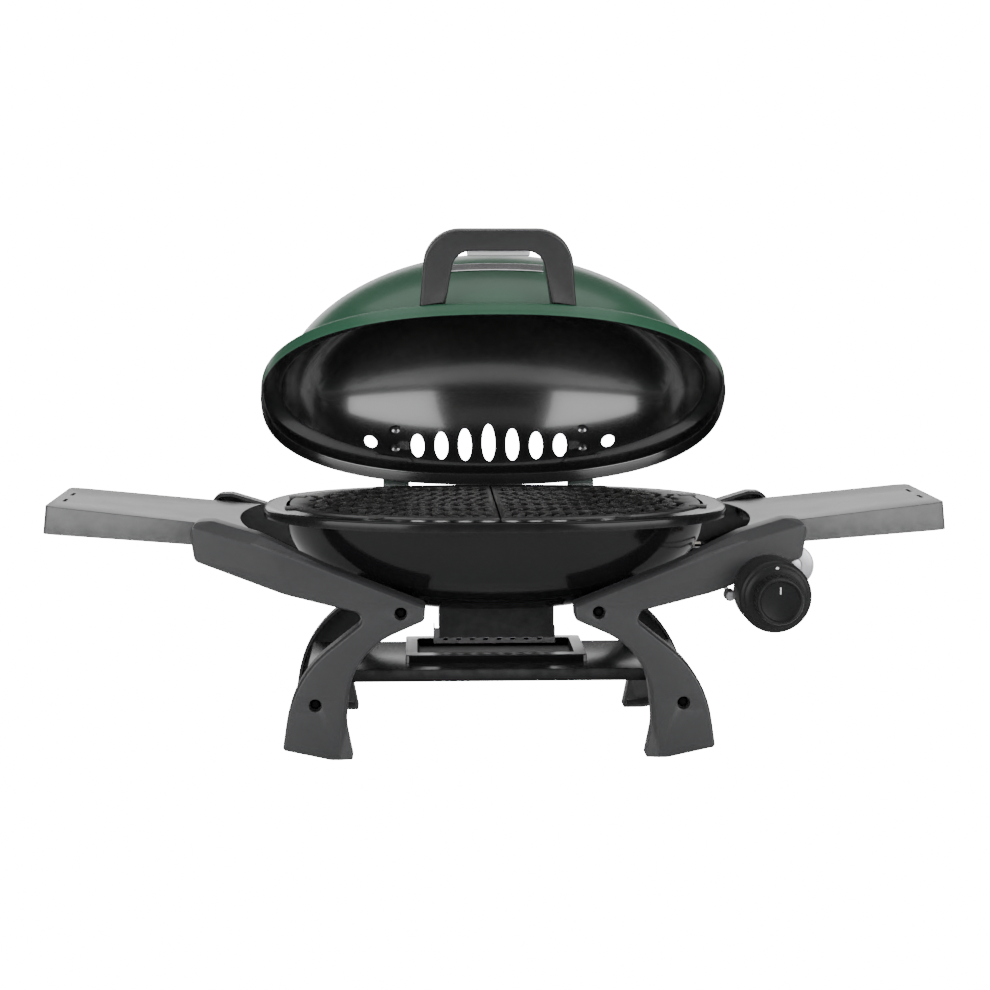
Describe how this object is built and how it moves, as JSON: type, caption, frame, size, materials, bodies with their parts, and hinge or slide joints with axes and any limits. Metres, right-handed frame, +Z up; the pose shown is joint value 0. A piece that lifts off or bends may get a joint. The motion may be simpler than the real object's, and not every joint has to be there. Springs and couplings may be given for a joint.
{
  "type": "folding camp grill",
  "caption": "Table-top gas grill with a hinged oval lid, lift-out grates, fold-up side tables, a drip tray and four moulded frames that join the arms and legs.",
  "frame": {"origin": "middle of the footprint, on the ground", "axes": "+X to the right along the tables, +Y to the back, +Z up"},
  "size_m": [1.0508, 0.4597, 0.605],
  "materials": {
    "green_enamel": "gloss enamel",
    "black_enamel": "gloss enamel",
    "shelf_enamel": "gloss enamel",
    "frame_plastic": "fine grained satin",
    "table_plastic": "satin",
    "grip": "satin",
    "cast_iron": "enamelled, semi matt",
    "bright_steel": "bright",
    "zinc": "satin plated",
    "brass": "satin",
    "ceramic": "glazed ceramic",
    "tray_steel": "satin"
  },
  "bodies": {
    "base": {"air_shutter": "zinc", "base_shelf": "shelf_enamel", "bowl_bracket_front_left": "bright_steel", "bowl_bracket_front_right": "bright_steel", "bowl_bracket_rear_left": "bright_steel", "bowl_bracket_rear_right": "bright_steel", "bowl_hinge_bracket_left": "bright_steel", "bowl_hinge_bracket_right": "bright_steel", "bowl_neck": "black_enamel", "bowl_shell": "black_enamel", "burner": "bright_steel", "burner_bracket_back": "bright_steel", "burner_bracket_front": "bright_steel", "control_bezel": "grip", "control_housing": "grip", "electrode": "ceramic", "front_left_frame": "frame_plastic", "front_right_frame": "frame_plastic", "gas_fitting": "zinc", "gas_tube": "bright_steel", "hinge_pin_left": "bright_steel", "hinge_pin_right": "bright_steel", "ignition_lead": "grip", "inlet_fitting": "brass", "leg_screw_front_left": "bright_steel", "leg_screw_front_right": "bright_steel", "leg_screw_rear_left": "bright_steel", "leg_screw_rear_right": "bright_steel", "node_screw_front_left": "bright_steel", "node_screw_front_right": "bright_steel", "node_screw_rear_left": "bright_steel", "node_screw_rear_right": "bright_steel", "rear_left_frame": "frame_plastic", "rear_right_frame": "frame_plastic", "regulator_body": "zinc", "regulator_cover": "zinc", "table_pivot_rod_left": "bright_steel", "table_pivot_rod_right": "bright_steel", "tie_rod_left": "bright_steel", "tie_rod_right": "bright_steel", "valve_body": "brass", "vent_plate": "zinc", "venturi_tube": "bright_steel"},
    "lid": {"lid_shell": "green_enamel", "lid_handle": "grip", "handle_heat_guard": "bright_steel", "lid_trim_strip": "bright_steel", "lid_hinge_bracket_left": "bright_steel", "lid_hinge_bracket_right": "bright_steel", "hinge_screw_lower_left": "bright_steel", "hinge_screw_upper_left": "bright_steel", "hinge_screw_lower_right": "bright_steel", "hinge_screw_upper_right": "bright_steel"},
    "left_table": {"left_side_table": "table_plastic"},
    "right_table": {"right_side_table": "table_plastic"},
    "valve_stem": {"valve_stem": "bright_steel"},
    "knob": {"control_knob": "grip"},
    "drip_tray": {"drip_tray": "tray_steel"},
    "left_grate": {"left_grate": "cast_iron"},
    "right_grate": {"right_grate": "cast_iron"}
  },
  "joints": [
    {"name": "lid_hinge", "type": "hinge", "parent": "base", "child": "lid", "pos_m": [0, 0.217, 0.26], "axis": [-1, 0, 0], "range_deg": [-35.8, 0]},
    {"name": "left_table_fold", "type": "hinge", "parent": "base", "child": "left_table", "pos_m": [-0.324, 0.006, 0.249], "axis": [0, 1, 0], "range_deg": [0, 90]},
    {"name": "right_table_fold", "type": "hinge", "parent": "base", "child": "right_table", "pos_m": [0.324, 0.006, 0.249], "axis": [0, -1, 0], "range_deg": [0, 90]},
    {"name": "knob_push", "type": "slide", "parent": "base", "child": "valve_stem", "axis": [0, 1, 0], "range_m": [0, 0.003], "stiffness_N_per_m": 900},
    {"name": "knob_turn", "type": "hinge", "parent": "valve_stem", "child": "knob", "pos_m": [0.307, -0.189, 0.195], "axis": [0, -1, 0], "range_deg": [0, 170]},
    {"name": "drip_tray_slide", "type": "slide", "parent": "base", "child": "drip_tray", "axis": [0, -1, 0], "range_m": [0, 0.15]},
    {"name": "left_grate_lift", "type": "slide", "parent": "base", "child": "left_grate", "axis": [0, 0, 1], "range_m": [0, 0.03]},
    {"name": "right_grate_lift", "type": "slide", "parent": "base", "child": "right_grate", "axis": [0, 0, 1], "range_m": [0, 0.03]}
  ]
}
